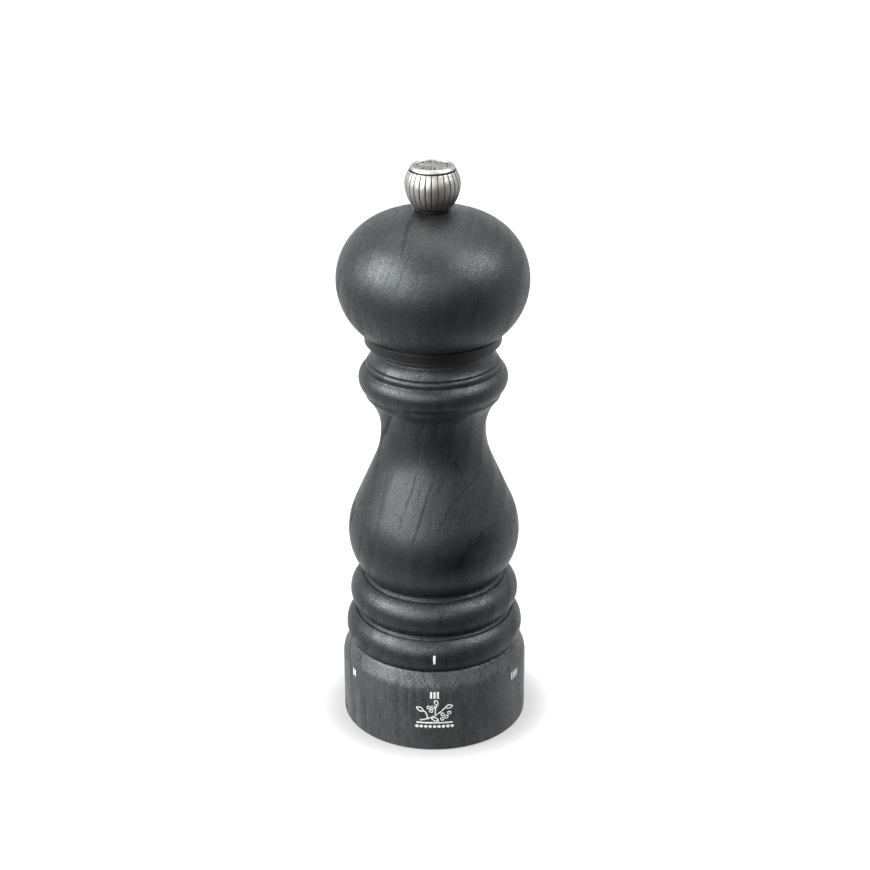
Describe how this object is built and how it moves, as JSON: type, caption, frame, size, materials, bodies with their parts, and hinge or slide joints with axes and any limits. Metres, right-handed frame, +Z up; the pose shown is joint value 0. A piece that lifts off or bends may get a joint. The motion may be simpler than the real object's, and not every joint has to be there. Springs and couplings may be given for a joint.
{
  "type": "pepper mill",
  "caption": "Turned wooden pepper mill with a round head, a fluted metal knob and a turning base ring that sets the grind.",
  "frame": {"origin": "centre of the face the mill stands on", "axes": "+Z up along the shaft, -Y to the front with the index mark, +X to the right"},
  "size_m": [0.0578, 0.0578, 0.18],
  "materials": {
    "stained_wood": "graphite-stained, satin",
    "collar_plastic": "satin black",
    "housing_plastic": "matte black",
    "bush_brass": "turned",
    "bright_steel": "zinc-plated",
    "spring_steel": "tempered",
    "burr_steel": "case-hardened",
    "knob_metal": "antiqued nickel"
  },
  "bodies": {
    "body": {"body_wood": "stained_wood", "swivel_collar": "collar_plastic", "mechanism_housing": "housing_plastic", "housing_screws": "bright_steel", "shaft_bush": "bush_brass", "sleeve_retaining_ring": "spring_steel", "detent_spring": "spring_steel"},
    "drive": {"drive_shaft": "bright_steel", "grinding_nut": "burr_steel", "pressure_spring": "spring_steel", "spring_seat": "bright_steel", "thrust_washer": "bright_steel", "shaft_clip": "spring_steel", "burr_washer": "bright_steel", "burr_screw": "bright_steel"},
    "head": {"head_wood": "stained_wood", "head_drive_plate": "bright_steel", "drive_plate_screws": "bright_steel"},
    "knob_carrier": {"knob_washer": "collar_plastic"},
    "knob": {"knob": "knob_metal", "knob_cap": "knob_metal"},
    "adjuster": {"base_ring_wood": "stained_wood", "adjuster_sleeve": "housing_plastic", "sleeve_screws": "bright_steel", "bottom_cover": "housing_plastic"},
    "crown": {"grind_crown": "burr_steel", "crown_carrier": "housing_plastic", "crown_clip": "spring_steel"}
  },
  "joints": [
    {"name": "grind_turn", "type": "hinge", "parent": "body", "child": "drive", "pos_m": [0, 0, 0.05], "axis": [0, 0, 1], "continuous": true},
    {"name": "head_lift", "type": "slide", "parent": "drive", "child": "head", "axis": [0, 0, 1], "range_m": [0, 0.062]},
    {"name": "knob_rise", "type": "slide", "parent": "head", "child": "knob_carrier", "axis": [0, 0, 1], "range_m": [0, 0.0096]},
    {"name": "knob_turn", "type": "hinge", "parent": "knob_carrier", "child": "knob", "pos_m": [0, 0, 0.17], "axis": [0, 0, 1], "range_deg": [0, 4321]},
    {"name": "grind_select", "type": "hinge", "parent": "body", "child": "adjuster", "pos_m": [0, 0, 0.015], "axis": [0, 0, 1], "range_deg": [-181, 121], "deforming": ["detent_spring"]},
    {"name": "crown_travel", "type": "slide", "parent": "body", "child": "crown", "axis": [0, 0, 1], "range_m": [-0.0006, 0.0009]}
  ],
  "couplings": [
    {"joint": "knob_turn", "follows": "knob_rise", "rad_per_m": 7854},
    {"joint": "grind_select", "follows": "crown_travel", "rad_per_m": -3490.7}
  ]
}
